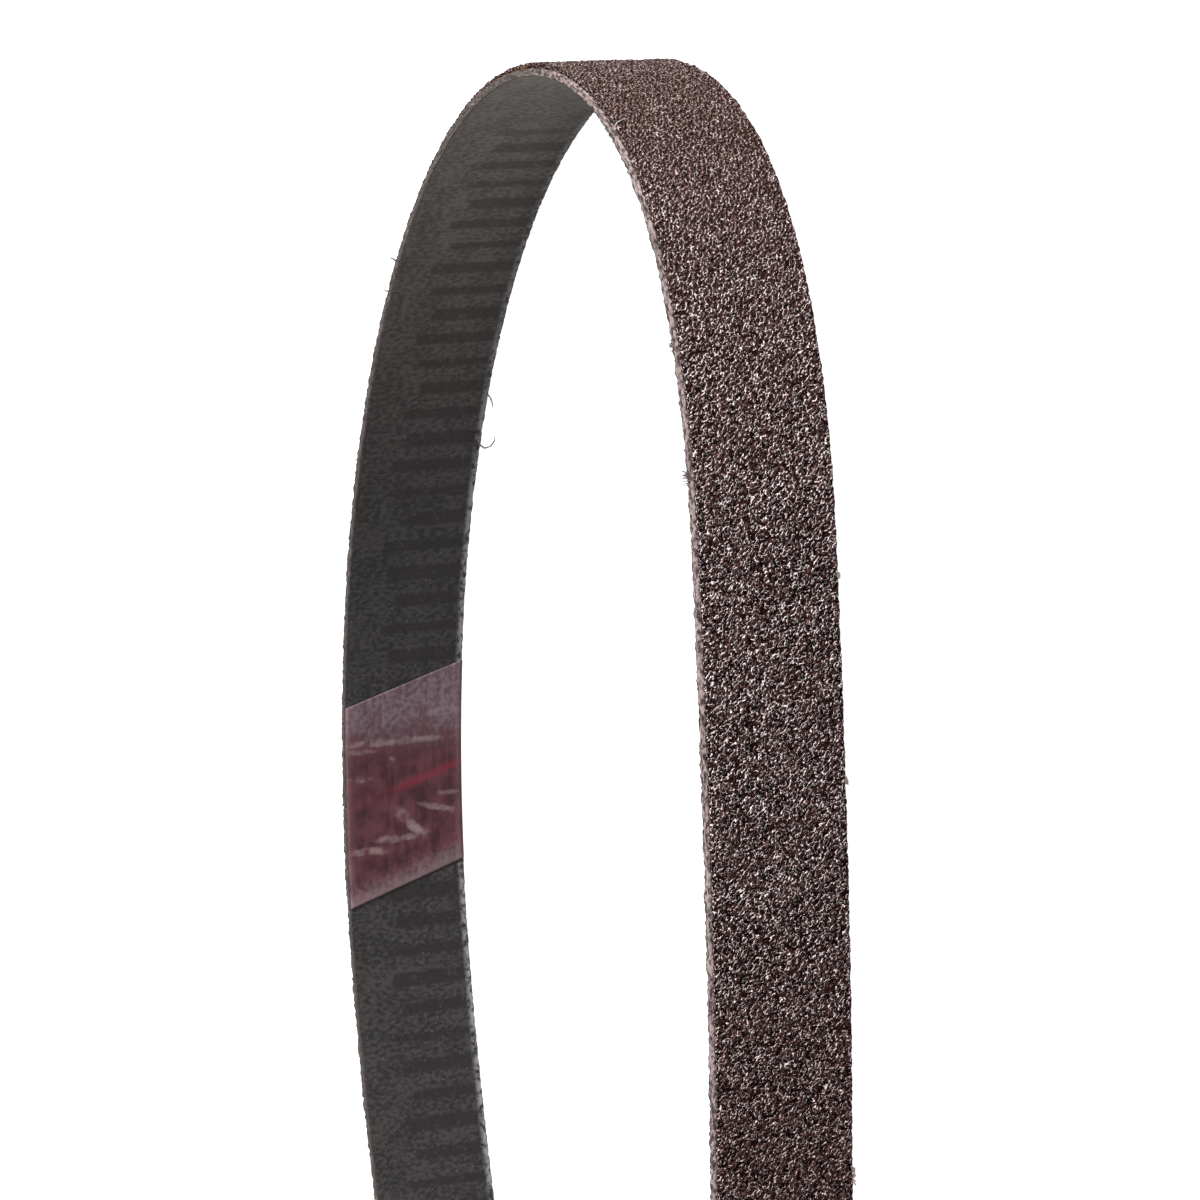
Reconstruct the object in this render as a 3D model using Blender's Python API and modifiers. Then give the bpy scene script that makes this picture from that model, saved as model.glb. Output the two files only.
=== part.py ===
"""A narrow sanding belt: a closed loop of coated cloth, lying on its side edge.

The loop's plane is level. X runs along the loop's long axis, from the bottom bend to the crest,
Y runs from the near run to the far run, and Z is the belt's width, with the lower edge at z = 0.
The origin is the middle of the loop's box, at the lower edge.

Three pieces: the woven cloth strip, the abrasive coat on its outer face, and the joint tape on its
inner face, over the skew butt joint where the strip's two ends meet.
"""

import math

import bpy
from mathutils import Matrix, Vector
from mathutils.geometry import interpolate_bezier

MM = 0.001

# The strip
BELT_LENGTH = 457.0 * MM        # round the back of the cloth
BELT_WIDTH = 12.7 * MM
CLOTH_THICKNESS = 0.70 * MM
COAT_THICKNESS = 0.45 * MM
BOND_LINE = 0.02 * MM           # resin between two layers

# The open loop, measured on the back of the cloth. Its full reach follows from BELT_LENGTH.
LOOP_BREADTH = 89.4 * MM        # between the backs of the two runs
CREST_OFFSET = 13.8 * MM        # the crest lies this far off the middle, on the near side
FOOT_OFFSET = 4.3 * MM          # and the lowest point of the bottom bend this far
FAR_SHOULDER = 79.7 * MM        # below the crest, where the far run bulges most
NEAR_SHOULDER = 40.5 * MM       # below the crest, where the near run bulges most

# How far the outline holds its direction at those four points: the lengths of its Bezier handles
CREST_HOLD_FAR = 28.5 * MM
CREST_HOLD_NEAR = 13.9 * MM
FAR_HOLD_UP = 46.4 * MM
FAR_HOLD_DOWN = 41.9 * MM
FOOT_HOLD_FAR = 25.1 * MM
FOOT_HOLD_NEAR = 24.1 * MM
NEAR_HOLD_DOWN = 85.9 * MM
NEAR_HOLD_UP = 32.5 * MM

# The joint
JOINT_FROM_CREST = 98.0 * MM    # along the far run, to the middle of the joint
JOINT_SKEW = math.radians(18.0)
JOINT_SLIT = 0.30 * MM          # between the two cut ends
TAPE_WIDTH = 20.0 * MM          # square across the tape
TAPE_THICKNESS = 0.12 * MM

# Fineness of the mesh
FACETS = 224                    # round the loop
QUARTER_SAMPLES = 400           # points of each Bezier quarter, before they are spaced evenly

# The cutters
CUTTER_MARGIN = 2.0 * MM        # past the edges of the belt
CUTTER_DEPTH = 12.0 * MM        # through the strip


def outline(reach):
    """The back of the cloth as a closed line of points: crest, far run, bottom bend, near run."""
    half = LOOP_BREADTH / 2
    crest = Vector((0.0, -CREST_OFFSET))
    far = Vector((-FAR_SHOULDER, half))
    foot = Vector((-reach, -FOOT_OFFSET))
    near = Vector((-NEAR_SHOULDER, -half))
    up, across = Vector((1.0, 0.0)), Vector((0.0, 1.0))
    quarters = [
        (crest, crest + across * CREST_HOLD_FAR, far + up * FAR_HOLD_UP, far),
        (far, far - up * FAR_HOLD_DOWN, foot + across * FOOT_HOLD_FAR, foot),
        (foot, foot - across * FOOT_HOLD_NEAR, near - up * NEAR_HOLD_DOWN, near),
        (near, near + up * NEAR_HOLD_UP, crest - across * CREST_HOLD_NEAR, crest),
    ]
    points = []
    for quarter in quarters:
        points += interpolate_bezier(*quarter, QUARTER_SAMPLES)[:-1]
    return points


def running_length(points):
    """Distance from the first point to each point, and all the way round to the first again."""
    lengths = [0.0]
    for here, there in zip(points, points[1:] + points[:1]):
        lengths.append(lengths[-1] + (there - here).length)
    return lengths


def reach_for_length():
    """The loop's reach below the crest that makes its back BELT_LENGTH long, by halving."""
    low = max(FAR_SHOULDER, NEAR_SHOULDER)
    high = low + BELT_LENGTH
    while high - low > 1e-9:
        middle = (low + high) / 2
        if running_length(outline(middle))[-1] < BELT_LENGTH:
            low = middle
        else:
            high = middle
    return high


def point_at(points, distance):
    """The point this far along the closed line."""
    lengths = running_length(points)
    i = next(i for i in range(len(points)) if lengths[i + 1] >= distance)
    share = (distance - lengths[i]) / (lengths[i + 1] - lengths[i])
    return points[i].lerp(points[(i + 1) % len(points)], share)


def even_facets(points):
    """The closed line again, with FACETS corners at equal distances."""
    step = running_length(points)[-1] / FACETS
    return [point_at(points, i * step) for i in range(FACETS)]


def offset(points, distance):
    """The closed line moved outwards, so that each facet lies this far from where it was."""
    moved = []
    for i, here in enumerate(points):
        before = (here - points[i - 1]).normalized()
        after = (points[(i + 1) % len(points)] - here).normalized()
        along = (before + after).normalized()
        outward = Vector((along.y, -along.x))
        moved.append(here + outward * distance / along.dot(after))
    return moved


def centred(points, like):
    """The line moved with the line `like`, whose box gets its middle at the origin."""
    xs, ys = [p.x for p in like], [p.y for p in like]
    middle = Vector(((min(xs) + max(xs)) / 2, (min(ys) + max(ys)) / 2))
    return [p - middle for p in points]


def material(name, colour, roughness):
    made = bpy.data.materials.new(name)
    made.use_nodes = True
    made.diffuse_color = (*colour, 1.0)
    shader = made.node_tree.nodes["Principled BSDF"]
    shader.inputs["Base Color"].default_value = (*colour, 1.0)
    shader.inputs["Roughness"].default_value = roughness
    shader.inputs["Metallic"].default_value = 0.0
    return made


def ribbon_mesh(name, corners):
    """An open ribbon as wide as the belt, standing on the closed line through these corners."""
    curve = bpy.data.curves.new(name, "CURVE")
    curve.dimensions = "3D"
    curve.extrude = BELT_WIDTH / 2
    line = curve.splines.new("POLY")
    line.points.add(len(corners) - 1)
    line.use_cyclic_u = True
    for point, corner in zip(line.points, corners):
        point.co = (corner.x, corner.y, BELT_WIDTH / 2, 1.0)
    standing = bpy.data.objects.new(name, curve)
    bpy.context.scene.collection.objects.link(standing)
    seen = standing.evaluated_get(bpy.context.evaluated_depsgraph_get())
    mesh = bpy.data.meshes.new_from_object(seen)
    bpy.data.objects.remove(standing)
    return mesh


def layer(name, inner, outer, finish):
    """One closed layer of the strip, between two distances outside the back of the cloth."""
    mesh = ribbon_mesh(name, offset(back_line, inner))
    mesh.materials.clear()
    mesh.materials.append(finish)
    body = bpy.data.objects.new(name, mesh)
    belt.objects.link(body)
    wall = body.modifiers.new("thickness", "SOLIDIFY")
    wall.thickness = outer - inner
    wall.use_even_offset = True
    wall.offset = -1.0          # the ribbon faces the inside of the loop, so this grows outwards
    return body


def joint_box(name, across):
    """A box along the skew joint, this wide square to it, which reaches past both belt edges."""
    long_side = (BELT_WIDTH + 2 * CUTTER_MARGIN + across * math.sin(JOINT_SKEW)) / math.cos(JOINT_SKEW)
    bpy.ops.mesh.primitive_cube_add(size=1.0)
    box = bpy.context.object
    box.name = name
    box.data.transform(Matrix.Diagonal((across, CUTTER_DEPTH, long_side, 1.0)))
    box.location = joint_place
    box.rotation_mode = "QUATERNION"
    box.rotation_quaternion = joint_turn
    box.hide_render = True
    box.display_type = "WIRE"
    box.users_collection[0].objects.unlink(box)
    cutters.objects.link(box)
    return box


def cut(body, cutter, operation):
    modifier = body.modifiers.new("joint", "BOOLEAN")
    modifier.operation = operation
    modifier.solver = "EXACT"
    modifier.object = cutter


for leftover in list(bpy.data.objects):
    bpy.data.objects.remove(leftover)

belt = bpy.data.collections.new("sanding_belt")
cutters = bpy.data.collections.new("cutters")
bpy.context.scene.collection.children.link(belt)
bpy.context.scene.collection.children.link(cutters)

# Distances outside the back of the cloth
coat_inner = CLOTH_THICKNESS + BOND_LINE
coat_outer = coat_inner + COAT_THICKNESS
tape_outer = -BOND_LINE
tape_inner = tape_outer - TAPE_THICKNESS

crest_line = even_facets(outline(reach_for_length()))
back_line = centred(crest_line, offset(crest_line, coat_outer))

cloth = layer("cloth_backing", 0.0, CLOTH_THICKNESS, material("cloth", (0.080, 0.078, 0.080), 0.85))
coat = layer("abrasive_coat", coat_inner, coat_outer, material("grain", (0.105, 0.058, 0.048), 0.45))
tape = layer("joint_tape", tape_inner, tape_outer, material("film", (0.150, 0.035, 0.055), 0.35))

# The joint's middle, and the turn that lays a box along it: X along the belt, Z over its width
joint_middle = point_at(back_line, JOINT_FROM_CREST)
joint_run = (point_at(back_line, JOINT_FROM_CREST + TAPE_WIDTH / 2)
             - point_at(back_line, JOINT_FROM_CREST - TAPE_WIDTH / 2))
joint_place = Vector((joint_middle.x, joint_middle.y, BELT_WIDTH / 2))
joint_turn = (Matrix.Rotation(math.atan2(joint_run.y, joint_run.x), 3, "Z")
              @ Matrix.Rotation(JOINT_SKEW, 3, "Y")).to_quaternion()

slit = joint_box("joint_slit", JOINT_SLIT)
window = joint_box("tape_window", TAPE_WIDTH)
cut(cloth, slit, "DIFFERENCE")
cut(coat, slit, "DIFFERENCE")
cut(tape, window, "INTERSECT")
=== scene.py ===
"""Looks of a narrow sanding belt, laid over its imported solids.

Every piece is worked out in the belt's own coordinates, in millimetres, and then laid round the
loop: run is the distance along the back of the cloth, from the crest down the far run and round;
rise is the distance up from the lower edge, across the belt's width; depth is the distance
outwards from the back of the cloth, towards the grain.
"""

import bpy
import numpy as np
from mathutils import Matrix, Vector


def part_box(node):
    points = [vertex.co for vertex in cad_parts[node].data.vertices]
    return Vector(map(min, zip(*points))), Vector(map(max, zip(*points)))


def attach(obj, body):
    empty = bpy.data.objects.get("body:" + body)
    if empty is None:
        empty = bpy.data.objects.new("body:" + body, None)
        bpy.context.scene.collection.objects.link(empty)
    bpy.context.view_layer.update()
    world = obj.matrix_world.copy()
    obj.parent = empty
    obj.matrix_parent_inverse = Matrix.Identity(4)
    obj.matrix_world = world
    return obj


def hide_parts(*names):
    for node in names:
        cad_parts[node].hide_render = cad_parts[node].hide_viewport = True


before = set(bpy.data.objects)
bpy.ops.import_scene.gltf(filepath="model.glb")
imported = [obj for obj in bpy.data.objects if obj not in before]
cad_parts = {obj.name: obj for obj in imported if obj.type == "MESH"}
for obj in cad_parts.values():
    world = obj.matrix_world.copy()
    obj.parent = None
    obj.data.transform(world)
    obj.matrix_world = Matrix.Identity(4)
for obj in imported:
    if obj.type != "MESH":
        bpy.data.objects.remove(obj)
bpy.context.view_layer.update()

# The cloth backing
# One strip of woven cotton, stiffened with dark grey resin and slit to its width from a wide roll.
# It is bent round to a loop, its skew ends meet, and the slit edges show pale broken threads.
MM = 0.001
CLOTH_THICKNESS = 0.70
CLOTH_ROWS, EDGE_POINTS = 1900, 7
EDGE_FUZZ = 0.25
BREADTH, CREST_OFFSET, FOOT_OFFSET = 89.4, 13.8, 4.3
FAR_BULGE, NEAR_BULGE = 79.7, 40.5
CREST_HOLDS, FOOT_HOLDS = (28.5, 13.9), (25.1, 24.1)    # of the handles, to the far and near run
FAR_HOLDS, NEAR_HOLDS = (46.4, 41.9), (32.5, 85.9)      # of the handles, to the crest and foot
JOINT_RUN = 98.0
JOINT_ANGLE = np.radians(18.0)
JOINT_SKEW = np.tan(JOINT_ANGLE)
JOINT_SLIT = 0.30
BOND_LINE = 0.02
BAR_PITCH, BAR_REACH = 3.0, 9.7
WEAVE_WAVES = 18.0                                      # radians to a millimetre
BACK_SPECK, BACK_RIM_SHEEN, EDGE_GREY = (104, 100, 98), (160, 156, 158), (62, 55, 52)
cloth_low, cloth_high = (np.array(corner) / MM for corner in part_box("cloth_backing"))
BELT_WIDTH = cloth_high[2] - cloth_low[2]
crest_x, foot_x = cloth_high[0] - CLOTH_THICKNESS, cloth_low[0] + CLOTH_THICKNESS
draw = np.random.default_rng(7)


def quarter(start, start_handle, end_handle, end):
    """A cubic Bezier: the four points, weighted by (1-t)^3, 3(1-t)^2 t, 3(1-t) t^2 and t^3."""
    t = np.linspace(0, 1, 1500, endpoint=False)[:, None]
    points = [np.array(p, float) for p in (start, start_handle, end_handle, end)]
    weights = [(1 - t) ** 3, 3 * (1 - t) ** 2 * t, 3 * (1 - t) * t ** 2, t ** 3]
    return sum(w * p for w, p in zip(weights, points))


half = BREADTH / 2
crest, foot = (crest_x, -CREST_OFFSET), (foot_x, -FOOT_OFFSET)
far, near = (crest_x - FAR_BULGE, half), (crest_x - NEAR_BULGE, -half)
loop = np.concatenate([
    quarter(crest, (crest_x, crest[1] + CREST_HOLDS[0]), (far[0] + FAR_HOLDS[0], half), far),
    quarter(far, (far[0] - FAR_HOLDS[1], half), (foot_x, foot[1] + FOOT_HOLDS[0]), foot),
    quarter(foot, (foot_x, foot[1] - FOOT_HOLDS[1]), (near[0] - NEAR_HOLDS[1], -half), near),
    quarter(near, (near[0] + NEAR_HOLDS[0], -half), (crest_x, crest[1] - CREST_HOLDS[1]), crest)])
loop = np.vstack([loop, loop[:1]])
steps = np.diff(loop, axis=0)
loop_run = np.concatenate([[0], np.cumsum(np.hypot(*steps.T))])
BELT_LENGTH = loop_run[-1]
along = np.gradient(np.vstack([loop[-2], loop, loop[1]]), axis=0)[1:-1]
outward = np.stack([along[:, 1], -along[:, 0]], 1) / np.hypot(*along.T)[:, None]


def lay(run, rise, depth):
    """Points in metres: the loop's point at this run, moved by depth along the outward normal."""
    turn = np.mod(run, BELT_LENGTH)
    x, y = (np.interp(turn, loop_run, loop[:, i]) for i in (0, 1))
    nx, ny = (np.interp(turn, loop_run, outward[:, i]) for i in (0, 1))
    return np.stack([x + nx * depth, y + ny * depth, rise + 0 * x], -1) * MM


def mesh_piece(name, places, sides, caps, strip, marks, finish, stands_for=None):
    """A smooth piece from points, four-sided faces and end caps, with values kept on its points."""
    mesh = bpy.data.meshes.new(name)
    mesh.vertices.add(len(places))
    mesh.vertices.foreach_set("co", places.astype(np.float32).ravel())
    mesh.loops.add(sides.size + caps.size)
    mesh.loops.foreach_set("vertex_index", np.append(sides, caps).astype(np.int32))
    mesh.polygons.add(len(sides) + len(caps))
    starts = np.append(np.arange(len(sides)) * 4, sides.size + np.arange(len(caps)) * caps.shape[1])
    mesh.polygons.foreach_set("loop_start", starts.astype(np.int32))
    mesh.update(calc_edges=True)
    place = mesh.attributes.new("strip", "FLOAT_VECTOR", "POINT")
    place.data.foreach_set("vector", strip.astype(np.float32).ravel())
    for mark, values in marks.items():
        layer = mesh.attributes.new(mark, "FLOAT", "POINT")
        layer.data.foreach_set("value", values.astype(np.float32).ravel())
    mesh.shade_smooth()
    mesh.materials.append(finish)
    piece = bpy.data.objects.new(name, mesh)
    bpy.context.scene.collection.objects.link(piece)
    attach(piece, "root")
    if stands_for:
        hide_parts(stands_for)
    return piece


def band(name, run, rise, depth, marks, finish, stands_for=None):
    """A closed length of strip from rows of points, each row one ring round its section.

    Four neighbours in two rows make a face, the last point of a ring joins its first, and a
    many-sided face closes each end.
    """
    rows, ring = run.shape
    index = np.arange(rows * ring).reshape(rows, ring)
    here, ahead = index[:-1], index[1:]
    sides = np.stack([here, ahead, np.roll(ahead, -1, 1), np.roll(here, -1, 1)], -1)
    caps = np.stack([index[0], index[-1][::-1]])
    strip = np.stack([run, rise, depth], -1).reshape(-1, 3)
    return mesh_piece(name, lay(run, rise, depth).reshape(-1, 3), sides.reshape(-1, 4), caps,
                      strip, marks, finish, stands_for)


class Wire:
    """A value in a material. Arithmetic on it adds Math nodes, and `node` adds any other node."""

    def __init__(self, tree, socket=None):
        self.tree, self.socket = tree, socket

    def node(self, kind, settings=None, inputs=None, out=0):
        """Adds a node: its settings first, then the values or wires of its inputs."""
        made = self.tree.nodes.new("ShaderNode" + kind)
        for setting, value in (settings or {}).items():
            setattr(made, setting, value)
        inputs = inputs or {}
        for key, value in enumerate(inputs) if isinstance(inputs, list) else inputs.items():
            Wire.plug(self.tree, made.inputs, key, value)
        return Wire(self.tree, Wire.find(made.outputs, out))

    @staticmethod
    def find(sockets, key):
        """The socket at this place, or the first live one with this identifier or name."""
        if isinstance(key, int):
            return sockets[key]
        return next(s for s in sockets if key in (s.identifier, s.name) and s.enabled)

    @staticmethod
    def plug(tree, sockets, key, value):
        """Links a wire to a socket, or sets a plain value on it."""
        socket = Wire.find(sockets, key)
        if isinstance(value, Wire):
            tree.links.new(value.socket, socket)
        else:
            socket.default_value = value

    def maths(self, operation, *others):
        """A Math node with this value as its first input."""
        return self.node("Math", {"operation": operation}, [self, *others])

    def __add__(self, other):
        return self.maths("ADD", other)

    def __sub__(self, other):
        return self.maths("SUBTRACT", other)

    def __mul__(self, other):
        return self.maths("MULTIPLY", other)

    def __truediv__(self, other):
        return self.maths("DIVIDE", other)

    def __rsub__(self, other):
        return self.maths("MULTIPLY", -1.0) + other

    def __abs__(self):
        return self.maths("ABSOLUTE")

    __radd__, __rmul__ = __add__, __mul__

    def parts(self):
        """The three numbers of this vector."""
        node = self.node("SeparateXYZ", inputs=[self]).socket.node
        return [Wire(self.tree, number) for number in node.outputs]

    def step(self, low, high):
        """0 below low, 1 above high and an S between them."""
        return self.node("MapRange", {"interpolation_type": "SMOOTHSTEP"},
                         {"Value": self, "From Min": low, "From Max": high})

    def mix(self, low, high):
        """The colour low where this is 0, and high where it is 1."""
        low, high = (tone(*c) if isinstance(c, tuple) else c for c in (low, high))
        return self.node("Mix", {"data_type": "RGBA"},
                         {"Factor_Float": self, "A_Color": low, "B_Color": high}, "Result_Color")

    def noise(self, scale, detail=2.0, stretch=(1, 1, 1), out="Fac"):
        """Noise at this many waves to a millimetre of this vector, finer along the stretch."""
        place = self.node("VectorMath", {"operation": "MULTIPLY"}, [self, stretch])
        return self.node("TexNoise", {}, {"Vector": place, "Scale": scale, "Detail": detail}, out)


def tone(red, green, blue):
    """A colour given as screen values from 0 to 255, made linear."""
    screen = np.array([red, green, blue]) / 255
    return (*np.where(screen < 0.04045, screen / 12.92, ((screen + 0.055) / 1.055) ** 2.4), 1.0)


def new_finish(name):
    """A material, a wire that reads the belt's coordinates in it, and what feeds its shader."""
    made = bpy.data.materials.new(name)
    made.use_nodes = True
    tree = made.node_tree

    def feed(**inputs):
        """Gives the material's shader these inputs, with _ for a space in their names."""
        for key, value in inputs.items():
            Wire.plug(tree, tree.nodes["Principled BSDF"].inputs, key.replace("_", " "), value)

    strip = Wire(tree).node("Attribute", {"attribute_name": "strip"}, out="Vector")
    return made, strip, feed


def cloth_finish():
    """Dark grey resin over the weave, printed bars on it, and pale broken threads on the slit edges.

    The resin and the printed bars are painted paler round the crest: painted light where the inside of
    the crest is lit. The bars come every 3 mm, each with a length and a width of its own, and stop short
    of the upper edge. The threads are pale on the near run. A pale bluish line along the lower edge of
    the back is a painted sheen.
    """
    made, strip, feed = new_finish("resined_cloth")
    edge = strip.node("Attribute", {"attribute_name": "edge"}, out="Fac")
    run, rise, depth = strip.parts()
    off_crest = abs(run - BELT_LENGTH)
    # Painted light: round the crest the resin and the bars are painted paler, where the inside of the
    # crest is lit.
    painted_crest_light = 1 - off_crest.step(12, 74)
    mottle = strip.noise(2.0, 3.0, (1.3, 0.8, 1))
    blot = (mottle + strip.noise(0.3) * 0.4).step(0.54, 0.86)
    grey = painted_crest_light.mix(blot.mix((32, 30, 30), (60, 58, 57)), blot.mix((80, 76, 73), (112, 107, 103)))
    beat = run / BAR_PITCH
    number = beat.maths("FLOOR")
    reach = BAR_REACH - (number * 0.37).maths("FRACT") * 1.9
    broad = (number * 0.61).maths("FRACT") * 0.13
    bar = 1 - (abs(beat.maths("FRACT") - 0.5) - broad).step(0.06, 0.22)
    bar = bar * rise.step(0.2, 0.9) * (reach - rise).step(0.0, 0.8) * off_crest.step(13, 22)
    bar = bar * strip.noise(0.9).step(0.22, 0.46)
    grey = (bar * 0.85).mix(grey, painted_crest_light.mix((32, 30, 29), (62, 58, 55)))
    grey = (strip.noise(2.8, 1.0).step(0.66, 0.80) * 0.6).mix(grey, BACK_SPECK)
    # Painted sheen: a pale bluish line along the lower edge of the back, for light off its rounded edge.
    rim = (1 - rise.step(0.2, 0.9)) * strip.noise(1.5).step(0.34, 0.60)
    grey = (rim * 0.75).mix(grey, BACK_RIM_SHEEN)
    thread = strip.noise(2.3, 3.0, (0.8, 1, 2.0)).step(0.36, 0.64)
    near_run = run.step(BELT_LENGTH - 230, BELT_LENGTH - 210)
    near_run = near_run * (1 - run.step(BELT_LENGTH - 9, BELT_LENGTH + 3))
    dull, pale = thread.mix((46, 41, 39), (80, 74, 71)), thread.mix((44, 33, 31), (142, 127, 124))
    skin = near_run.mix(EDGE_GREY, (40, 29, 27))
    side = ((1 - depth.step(0.05, 0.17)) * 0.85).mix(near_run.mix(dull, pale), skin)
    weave = (run * WEAVE_WAVES).maths("SINE") * (rise * WEAVE_WAVES).maths("SINE")
    feed(Base_Color=edge.step(0.25, 0.75).mix(grey, side), Roughness=0.75, IOR=1.3,
         Normal=strip.node("Bump", {}, {"Strength": 1.0, "Distance": 0.001,
                                        "Height": weave * 0.012 + mottle * 0.08}))
    return made


def side_points(level, rough):
    """Rises of one side edge: some points through the cloth in each row, moved by smoothed chance.

    Each chance is added to two neighbours, and the sum is divided by 1.7, which keeps its spread.
    """
    chance = draw.random((CLOTH_ROWS + 1, EDGE_POINTS)) - 0.5
    chance = (chance + np.roll(chance, 1, 0) + np.roll(chance, 1, 1)) / 1.7
    return level + rough * chance


length = BELT_LENGTH - JOINT_SLIT * np.hypot(1, JOINT_SKEW)
t = np.linspace(0, length, CLOTH_ROWS + 1)[:, None]
through = np.linspace(0, CLOTH_THICKNESS, EDGE_POINTS)
inner_face = np.array([BELT_WIDTH - 0.14, 9.0, 6.35, 3.7, 0.14])
lower_edge, upper_edge = side_points(0.05, 0.11), side_points(BELT_WIDTH + 0.10, 0.18)
flat_rows = np.ones((len(t), 1))
cloth_rise = np.concatenate([lower_edge, upper_edge, flat_rows * inner_face], 1)
cloth_rise = np.clip(cloth_rise, 0.0, BELT_WIDTH + EDGE_FUZZ)
cloth_depth = flat_rows * np.concatenate([through, through[::-1], 0 * inner_face])
cloth_run = JOINT_RUN + JOINT_SKEW * (cloth_rise - BELT_WIDTH / 2) + JOINT_SLIT / 2 + t
edge_mark = flat_rows * np.concatenate([np.ones(2 * EDGE_POINTS), 0 * inner_face])
cloth_strip = band("cloth_strip", cloth_run, cloth_rise, cloth_depth, {"edge": edge_mark},
                   cloth_finish(), "cloth_backing")

# The abrasive coat
# Coarse grain bedded in resin on the outer face of the cloth, under a second, glossy coat of resin
# that rounds every grain. It is slit with the cloth, so its side edges are ragged with cut grain.
COAT_THICKNESS = 0.45
COAT_INNER = CLOTH_THICKNESS + BOND_LINE
COAT_OUTER = COAT_INNER + COAT_THICKNESS
COAT_STRETCHES = 5
GRAIN_PITCH, GRAIN_STEP = 0.44, 0.120
EDGE_SINK, EDGE_ROUND = 0.10, 0.12
CHIP_RUN, CHIP_DEPTH, CHIP_REACH = BELT_LENGTH - 19.3, 0.55, 0.35


def grain_bed(run, rise, pitch, peak, steep, tilt, soft):
    """Height of a bed of rounded grains.

    One grain stands in each square of a jittered grid. Its shape is a paraboloid with a peak and
    a tilt of its own, and the bed is the soft maximum (log of summed exponentials) of them all.
    """
    across, rows = int(run.max() / pitch) + 4, int(rise.max() / pitch) + 4
    shift_run, shift_rise, tall, lean_run, lean_rise = draw.random((5, across, rows))
    u, v = run / pitch + 1, rise / pitch + 1
    bed = 0
    for i in (-1, 0, 1):
        for j in (-1, 0, 1):
            a, b = np.floor(u).astype(int) + i, np.floor(v).astype(int) + j
            a, b = np.clip(a, 0, across - 1), np.clip(b, 0, rows - 1)
            du, dv = u - a - shift_run[a, b], v - b - shift_rise[a, b]
            grain = peak * tall[a, b] - steep * (du ** 2 + dv ** 2)
            grain += tilt * ((lean_run[a, b] - 0.5) * du + (lean_rise[a, b] - 0.5) * dv)
            bed = bed + np.exp(grain / soft)
    return soft * np.log(bed)


def grain_finish():
    """Dark brown resin over grain, with painted shade that makes the hollows nearly black and pale
    painted glints on the glossy ridges.

    The ridges are the middle levels of a noise that is drawn out along a skew line, as the grain is
    combed when it is laid. The same noise raises them, and the ridges are painted pale as painted
    glints, which a slower noise makes paler in places and which are fewer and dimmer far from the crest.
    Round the crest the painted shade in the hollows is lighter and the painted glints duller, as painted
    light, and the notch where the edge is chipped is painted dark as its shadow.
    """
    made, strip, feed = new_finish("grain_resin")
    hollow = strip.node("Attribute", {"attribute_name": "hollow"}, out="Fac")
    run, rise, depth = strip.parts()
    level = strip.node("CombineXYZ", {}, [(run - rise) * 0.64, (run + rise) * 0.80, depth])
    level = level.noise(3.9, 0.0)
    # Painted light: round the crest the painted shade in the hollows is lighter and the painted glints
    # duller.
    painted_crest_light = (1 - abs(run - BELT_LENGTH).step(8, 54)) * 0.85
    inside = depth.step(0.86, 0.98)
    ridge = level.step(0.50, 0.54) * (1 - level.step(0.585, 0.645)) * inside
    # Painted glints: the ridges are painted pale, nearly white, for the glints on their glossy rims, and
    # fewer and dimmer far from the crest.
    low = abs(run - BELT_LENGTH + 20).step(60, 105)
    painted_glint = strip.noise(2.7, 1.0).step(low * 0.09 + 0.36, low * 0.09 + 0.50)
    painted_glint = painted_glint.mix((118, 89, 85), low.mix((255, 240, 238), (238, 214, 210)))
    painted_glint = painted_crest_light.mix(painted_glint, (152, 127, 122))
    brown = strip.noise(0.45).step(0.3, 0.7).mix((74, 48, 45), (92, 65, 62))
    # Painted shade: where the noise and the bed are low, the grain is painted nearly black.
    painted_hollow_shade = painted_crest_light.mix((29, 16, 15), (84, 64, 59))
    colour = (level * 0.5 + hollow * 0.6).step(0.1, 0.9).mix(painted_hollow_shade, brown)
    cut = strip.noise(2.3, 3.0).step(0.36, 0.64).mix((44, 32, 30), (128, 113, 110))
    cut = (run - BELT_LENGTH).step(-9, 3).mix(cut, (104, 74, 56))
    colour = inside.mix(cut, ridge.mix(colour, painted_glint))
    # Painted shadow: the chipped notch in the upper edge is painted dark.
    painted_notch_shade = (1 - abs(run - CHIP_RUN).step(0.1, 0.6)) * rise.step(11.4, 12.0)
    colour = (painted_notch_shade * 0.9).mix(colour, (26, 15, 13))
    relief = strip.node("Bump", {}, {"Strength": 1.0, "Distance": 0.001, "Height": level * 1.5})
    feed(Base_Color=colour, Roughness=0.25, IOR=1.55, Normal=relief)
    matte = strip.node("BsdfPrincipled", {}, {"Base Color": colour, "Normal": relief,
                                              "Roughness": 1.0, "Specular IOR Level": 0.0})
    glossy = Wire(made.node_tree, made.node_tree.nodes["Principled BSDF"].outputs[0])
    both = strip.node("MixShader", {}, [ridge, matte, glossy])
    Wire.plug(made.node_tree, made.node_tree.nodes["Material Output"].inputs, "Surface", both)
    return made


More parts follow.
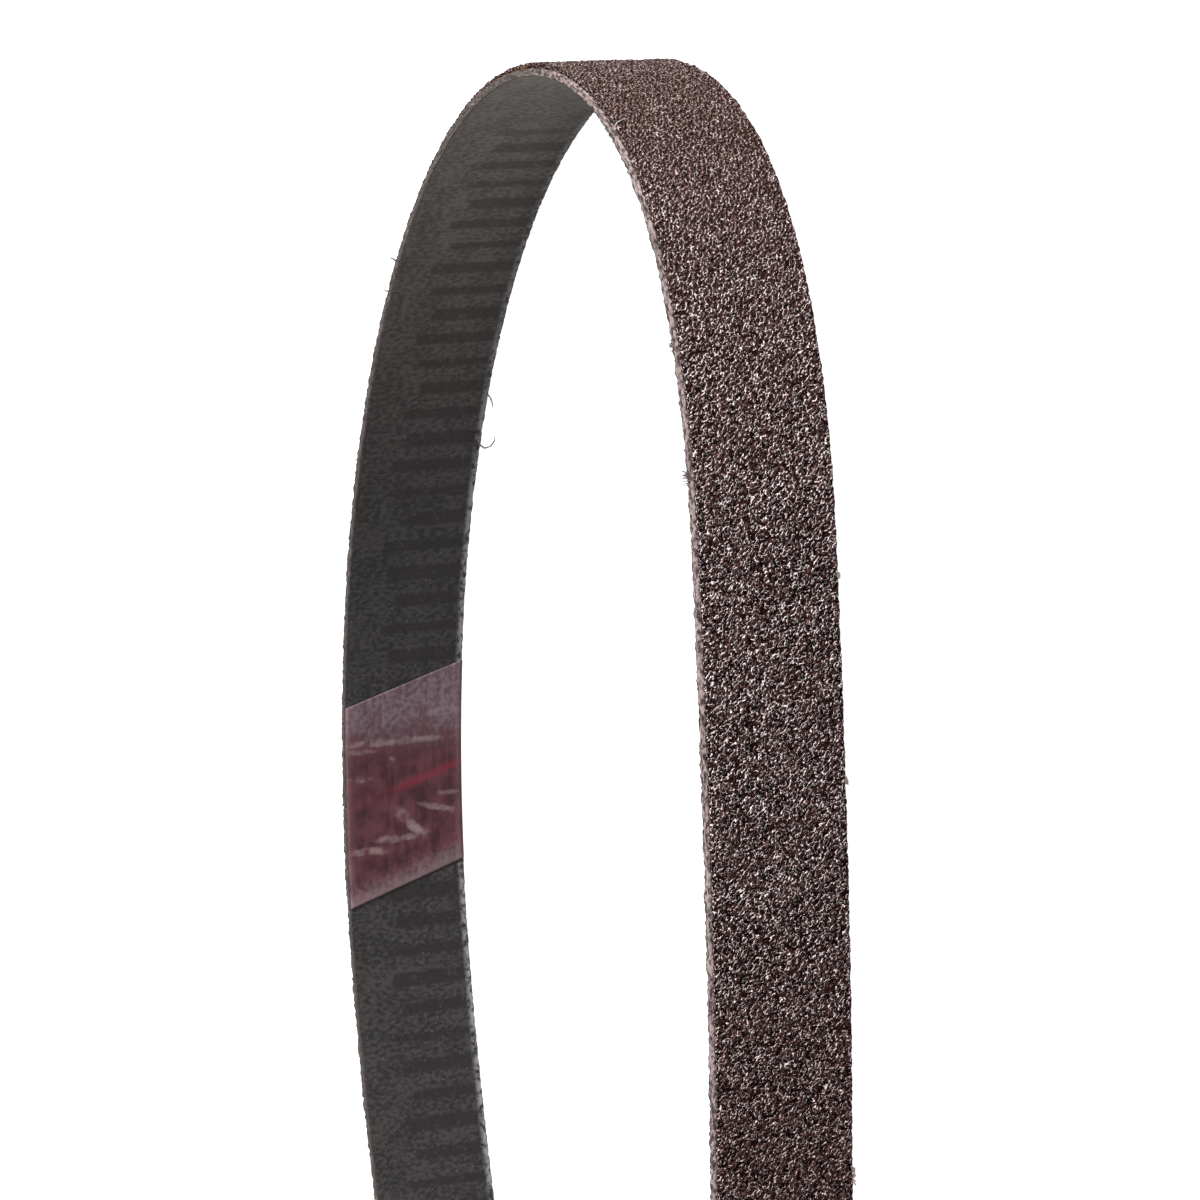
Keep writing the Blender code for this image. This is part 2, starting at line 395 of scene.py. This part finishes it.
rows_along = int(length / GRAIN_STEP)
t = np.linspace(0, length, rows_along + 1)[:, None]
bed_rise = np.ones_like(t) * np.linspace(0, BELT_WIDTH, int(BELT_WIDTH / GRAIN_STEP) + 1)
bed = grain_bed(t + JOINT_SKEW * bed_rise, bed_rise, GRAIN_PITCH,
                peak=0.17, steep=0.24, tilt=0.14, soft=0.03)
from_edge = np.minimum(bed_rise, BELT_WIDTH - bed_rise)
bed = bed - bed.mean() - EDGE_SINK * np.exp(-from_edge / EDGE_ROUND)
ragged = draw.random((len(t), 2)) * [0.08, 0.26]
ragged = (ragged + np.roll(ragged, 1, 0)) / 2
from_chip = t[:, 0] + JOINT_RUN + JOINT_SKEW * BELT_WIDTH / 2 - CHIP_RUN
chip = CHIP_DEPTH * np.exp(-(from_chip / CHIP_REACH) ** 2)
bed_rise[:, 0], bed_rise[:, -1] = ragged[:, 0], BELT_WIDTH - ragged[:, 1] - chip
low, high, one = bed_rise[:, :1], bed_rise[:, -1:], np.ones_like(t)
coat_rise = np.concatenate([low, low, bed_rise, high, high], 1)
inner, half_way = one * COAT_INNER, one * (COAT_INNER + COAT_OUTER) / 2
coat_depth = np.concatenate([inner, half_way, COAT_OUTER + bed, half_way, inner], 1)
coat_run = JOINT_RUN + JOINT_SKEW * (coat_rise - BELT_WIDTH / 2) + JOINT_SLIT / 2 + t
bed_level = (bed + 0.12) / 0.24                         # 0.12 below the mean is 0, above it is 1
# The hollow mark sets where the grain's colour takes painted shade.
hollows = np.concatenate([one * 0, one * 0.5, bed_level, one * 0.5, one * 0], 1)
grain_resin = grain_finish()
cuts = np.linspace(0, rows_along, COAT_STRETCHES + 1).astype(int)
for number, (first, last) in enumerate(zip(cuts[:-1], cuts[1:]), 1):
    rows = slice(first, last + 1)
    band(f"grain_stretch_{number}", coat_run[rows], coat_rise[rows], coat_depth[rows],
         {"hollow": hollows[rows]}, grain_resin, "abrasive_coat")

# The joint tape
# A thin maroon film, stiffened with pale filaments that run along the belt. It is glued over the
# skew joint on the back of the cloth, where it bridges the two ends.
TAPE_WIDTH, TAPE_THICKNESS, TAPE_MARGIN = 20.0, 0.12, 0.03
TAPE_LENGTH = TAPE_WIDTH / np.cos(JOINT_ANGLE)
TAPE_ROWS, TAPE_POINTS = 120, 36
STRANDS = [(-4.5, 7.7, 4.2, 0.28, 0.0, 0.8), (-3.7, 11.1, 1.1, 0.22, 0.0, 0.6),
           (-0.8, 11.2, 1.0, 0.22, 0.0, 0.6), (4.1, 5.9, 1.2, 0.6, 0.9, 0.7),
           (5.0, 4.7, 1.0, 0.28, 0.3, 0.7), (2.9, 2.5, 1.6, 0.25, 0.25, 0.7),
           (1.4, 1.7, 1.0, 0.2, 0.0, 0.5), (5.7, 7.4, 1.6, 0.28, 0.0, 0.85),
           (6.8, 10.2, 1.5, 0.3, 0.0, 0.8), (-7.3, 2.0, 1.3, 0.35, 0.0, 0.6),
           (-2.5, 7.7, 0.3, 0.3, 0.0, 0.7)]


def film_finish():
    """Maroon film: mauve towards the crest, with a red line over the joint and pale strands in it.

    Each strand is an ellipse with soft, noisy edges: its middle past the joint and up, its half
    length up, its half width, its slant and its strength.
    """
    made, strip, feed = new_finish("maroon_film")
    run, rise, depth = strip.parts()
    run = run - JOINT_RUN
    past = run - (rise - BELT_WIDTH / 2) * JOINT_SKEW
    threads = strip.noise(1.4, 2.0, (0.16, 1.6, 1)).step(0.3, 0.7)
    cloud = strip.noise(0.55, 3.0)
    ragged = strip.noise(1.8, 2.0)
    maroon = (cloud * 0.8 + threads * 0.12).step(0.28, 0.62).mix((47, 18, 26), (83, 45, 53))
    mauve = (threads * 0.3 + ragged.step(0.3, 0.7) * 0.7).mix((76, 58, 65), (118, 100, 106))
    film = (1 - (run + cloud * 7.0 + threads * 1.6).step(-4.0, 1.6)).mix(maroon, mauve)
    line = 1 - abs(past - 0.2 + (ragged - 0.5) * 0.8).step(0.0, 0.8)
    film = (line * (0.14 + 0.34 * (1 - rise.step(6.0, 8.5)))).mix(film, (122, 34, 48))
    smudge = strip.noise(0.8, 1.0).step(0.28, 0.62)
    for ahead, up, reach, broad, slant, strength in STRANDS:
        away = (rise - up) / reach
        aside = (run - ahead + (rise - up) * slant + (ragged - 0.5) * 0.5) / broad
        strand = 1 - (away * away + aside * aside).step(0.0, 3.4)
        film = (strand * smudge * strength * 0.8).mix(film, (140, 120, 120))
    rim = (1 - rise.step(0.1, 1.3)) + rise.step(11.3, 12.9)
    film = (rim * 0.24).mix(film, (142, 110, 117))
    worn_end = (past + ragged * 3.0).step(9.4, 12.4) * 0.5
    feed(Base_Color=worn_end.mix(film, (140, 122, 125)), Roughness=0.5, IOR=1.3,
         Normal=strip.node("Bump", {}, {"Strength": 1.0, "Distance": 0.001,
                                        "Height": threads * 0.02 + ragged * 0.04}))
    return made


t = np.linspace(-TAPE_LENGTH / 2, TAPE_LENGTH / 2, TAPE_ROWS)[:, None]
face = np.linspace(TAPE_MARGIN, BELT_WIDTH - TAPE_MARGIN, TAPE_POINTS)
glued, bare = 0 * face - BOND_LINE, 0 * face - BOND_LINE - TAPE_THICKNESS
tape_rise = np.ones_like(t) * np.concatenate([face, face[::-1]])
tape_depth = np.ones_like(t) * np.concatenate([glued, bare])
tape_run = JOINT_RUN + JOINT_SKEW * (tape_rise - BELT_WIDTH / 2) + t
band("tape_film", tape_run, tape_rise, tape_depth, {}, film_finish(), "joint_tape")

# The frayed threads
# Short broken ends of the cloth's own cotton, which stand out of both slit edges, most of them out
# of the upper one. Each is a thin tube that starts inside the cloth.
FRAY_COUNT, FRAY_RINGS, UPPER_SHARE = 620, 5, 0.7
FRAY_THICK, FRAY_ROOT = 0.07, 0.10
fray_run = draw.random(FRAY_COUNT) * BELT_LENGTH
in_upper = draw.random(FRAY_COUNT) < UPPER_SHARE
fray_depth = 0.08 + 0.55 * draw.random(FRAY_COUNT)
lean = draw.normal(0, 1, (FRAY_COUNT, 3))
reach = 0.12 + 0.35 * draw.random(FRAY_COUNT) ** 3
reach = np.where(in_upper, reach, 0.10 * reach)         # the lower edge lies on the floor


def fibres(name, run, rise, depth, thick, finish):
    """Thin tubes from rows of path points: a square ring round each point, smaller at the tip.

    The ring's first direction is square to the path and to a fixed slanted line, and its second is
    square to the path and to the first.
    """
    path = lay(run, rise, depth)
    ahead = np.gradient(path, axis=1)
    ahead /= np.linalg.norm(ahead, axis=-1, keepdims=True) + 1e-12
    side = np.cross(ahead, np.array([0.31, 0.57, 0.76]))
    side /= np.linalg.norm(side, axis=-1, keepdims=True)
    other = np.cross(ahead, side)
    turn = np.array([0, 1, 2, 3]) * np.pi / 2
    taper = np.linspace(1, 0.45, path.shape[1])[None, :, None, None]
    ring = (side[:, :, None] * np.cos(turn)[:, None] + other[:, :, None] * np.sin(turn)[:, None])
    places = path[:, :, None] + ring * taper * thick * MM / 2
    count, rings = path.shape[:2]
    index = np.arange(count * rings * 4).reshape(count, rings, 4)
    here, ahead = index[:, :-1], index[:, 1:]
    sides = np.stack([here, np.roll(here, -1, 2), np.roll(ahead, -1, 2), ahead], -1)
    caps = np.concatenate([index[:, 0, ::-1], index[:, -1]])
    strip = np.repeat(np.stack([run, rise, depth], -1), 4, 1)
    return mesh_piece(name, places.reshape(-1, 3), sides.reshape(-1, 4), caps,
                      strip.reshape(-1, 3), {}, finish)


def thread_finish(name, dark, light):
    """Cotton that goes between a dark and a light colour, as more or less resin is on it."""
    made, strip, feed = new_finish(name)
    feed(Base_Color=strip.noise(1.3).step(0.35, 0.65).mix(dark, light), Roughness=0.7)
    return made


share = np.linspace(0, 1, FRAY_RINGS)[None, :]
start = np.where(in_upper, BELT_WIDTH - FRAY_ROOT, FRAY_ROOT)[:, None]
way = np.where(in_upper, 1.0, -1.0)[:, None]
thread_run = fray_run[:, None] + lean[:, :1] * 0.12 * share + lean[:, 2:] * 0.10 * share ** 2
thread_rise = start + way * (0.02 + reach[:, None]) * share
thread_depth = fray_depth[:, None] + lean[:, 1:2] * 0.10 * share
cotton = thread_finish("cotton_thread", (150, 128, 122), (205, 188, 184))
frayed = fibres("frayed_threads", thread_run, thread_rise, thread_depth, FRAY_THICK, cotton)

# The stray fibres
# A few longer ends of the same cotton: a curl and a hook off the lower edge, short tufts on the
# upper one and on the grain, and one that lies over the grain beside the chip.
CURLS = np.array([                                      # run, rise and depth of five points each
    ([518.5, 518.1, 517.1, 515.9, 515.4], [0.2] * 5, [0.1, -1.48, -2.83, -3.64, -3.5]),
    ([512.6, 512.5, 512.5, 512.7, 513.0], [0.2] * 5, [0.1, -0.5, -1.1, -1.6, -1.9]),
    ([495.7, 495.8, 495.7, 495.6, 495.6], [12.5, 12.8, 13.0, 13.2, 13.4], [0.5, 0.7, 0.8, 0.9, 0.9]),
    ([499.6, 499.7, 499.8, 499.8, 499.7], [12.5, 12.8, 12.9, 13.0, 13.1], [0.5, 0.7, 0.8, 0.9, 0.9])])
OVER_GRAIN = np.array([
    ([437.1, 437.4, 437.6, 437.8, 438.0], [12.7, 12.4, 12.0, 11.5, 11.0], [1.1, 1.32, 1.36, 1.36, 1.3])])
TUFTS = [                                               # run, rise, depth, reach up, reach outwards
    (416.3, 12.6, 0.4, 0.65, 0.0), (405.3, 12.6, 0.4, 0.85, 0.0), (383.3, 12.6, 0.4, 0.5, 0.0),
    (396.5, 0.1, 1.0, 0.0, 0.6), (379.3, 0.1, 1.0, 0.0, 0.7), (346.0, 0.1, 1.0, 0.0, 0.7),
    (345.3, 0.1, 1.0, 0.0, 0.8)]
TUFT_FIBRES, TUFT_LOWEST = 12, 0.03
CURL_THICK, PALE_THICK, TUFT_THICK = 0.24, 0.15, 0.18
stained = thread_finish("stained_thread", (78, 68, 64), (112, 100, 95))
fibres("stained_curls", CURLS[:, 0], CURLS[:, 1], CURLS[:, 2], CURL_THICK, stained)
fibres("pale_fibre", OVER_GRAIN[:, 0], OVER_GRAIN[:, 1], OVER_GRAIN[:, 2], PALE_THICK, cotton)
tufts = np.repeat(np.array(TUFTS), TUFT_FIBRES, 0)[:, :, None]
spread = draw.normal(0, 1, (2, len(tufts), 1))
grown = (1 - 0.2 * abs(spread[1])) * share
tuft_run = tufts[:, 0] + spread[0] * (0.12 + 0.10 * share)
tuft_rise = np.maximum(tufts[:, 1] + tufts[:, 3] * grown, TUFT_LOWEST)
tuft_depth = tufts[:, 2] + tufts[:, 4] * grown + 0.08 * spread[1]
fibres("tufts", tuft_run, tuft_rise, tuft_depth, TUFT_THICK, stained)

# The floor and the light
# A white sweep, on which the belt is laid on its lower slit edge. A softbox above the crest, on the
# near side, rakes over the grain and lights the upper slit edge, and a weaker one beyond the foot of
# the belt lights the inside of the crest.
LIT_POINT = Vector((0.045, -0.02, 0.006))
LAMP_AWAY, LAMP_SIDE = 0.7, 0.30
FLOOR_SIDE, FLOOR_DROP = 6, 0.00005
FLOOR_GREY, FLOOR_SEEN = 0.35, 0.97
SKY_LIGHT, SKY_SEEN = 0.12, 0.98


def softbox(name, direction, side_way, radiance):
    """A square lamp that faces the lit point from this direction, one side turned the side way.

    Its power is pi times its area times its radiance, so a white sheet close to it shows that.
    """
    towards = Vector(direction).normalized()
    side = Vector(side_way) - towards * towards.dot(Vector(side_way))
    side.normalize()
    lamp = bpy.data.lights.new(name, "AREA")
    lamp.size = LAMP_SIDE
    lamp.energy = np.pi * LAMP_SIDE ** 2 * radiance
    held = bpy.data.objects.new(name, lamp)
    bpy.context.scene.collection.objects.link(held)
    turned = Matrix((side, towards.cross(side), towards)).transposed()
    held.matrix_world = Matrix.Translation(LIT_POINT + towards * LAMP_AWAY) @ turned.to_4x4()


softbox("key_box", (0.55, -0.30, 0.78), (1, 0, 0), 40.0)
softbox("foot_box", (-0.75, 0.35, 0.56), (0, 1, 0), 6.0)


def rays_that_see(tree):
    """1 for the rays that look straight or through a mirror or glass, 0 for the ones that light."""
    rays = tree.nodes.new("ShaderNodeLightPath")
    straight, mirrored, through = (Wire(tree, rays.outputs[name]) for name in
                                   ("Is Camera Ray", "Is Glossy Ray", "Is Transmission Ray"))
    return (straight + mirrored + through).maths("MINIMUM", 1.0)


# The sweep and the sky are white where they are seen, and send only weak light to the belt
white = bpy.data.materials.new("white_sweep")
white.use_nodes = True
tree = white.node_tree
seen = rays_that_see(tree)
lit = seen.node("BsdfDiffuse", {}, {"Color": (FLOOR_GREY, FLOOR_GREY, FLOOR_GREY, 1)})
dark = seen.node("Emission", {}, {"Color": (0, 0, 0, 1)})
glow = seen.node("Emission", {}, {"Color": (1, 1, 1, 1), "Strength": FLOOR_SEEN})
shown = seen.node("AddShader", {}, [lit, seen.node("MixShader", {}, [seen, dark, glow])])
Wire.plug(tree, tree.nodes["Material Output"].inputs, "Surface", shown)
bpy.ops.mesh.primitive_plane_add(size=FLOOR_SIDE, location=(0, 0, -FLOOR_DROP))
floor = bpy.context.object
floor.name = "floor"
floor.data.materials.append(white)

world = bpy.data.worlds.new("studio")
bpy.context.scene.world = world
world.use_nodes = True
tree = world.node_tree
sky = tree.nodes["Background"].inputs
Wire.plug(tree, sky, "Color", (1, 1, 1, 1))
Wire.plug(tree, sky, "Strength", rays_that_see(tree) * (SKY_SEEN - SKY_LIGHT) + SKY_LIGHT)
bpy.context.scene.view_settings.view_transform = "Standard"

# The camera
# It looks down on the lying belt from the near side, turned so that the crest is at the top. Its
# place, turn and lens were fitted to the belt's edges.
CAMERA_AWAY = 0.3807
aim = Vector((0.0476, -0.0029, 0.0034))
forward = Vector((-0.08387, 0.91726, -0.38935)).normalized()
right = forward.cross(Vector((0.99524, 0.05768, -0.07849))).normalized()
lens = bpy.data.cameras.new("camera")
lens.lens, lens.sensor_width = 123.7, 36.0
lens.clip_start, lens.clip_end = 0.01, 10
camera = bpy.data.objects.new("camera", lens)
bpy.context.scene.collection.objects.link(camera)
turned = Matrix((right, right.cross(forward), -forward)).transposed()
camera.matrix_world = Matrix.Translation(aim - forward * CAMERA_AWAY) @ turned.to_4x4()
bpy.context.scene.camera = camera
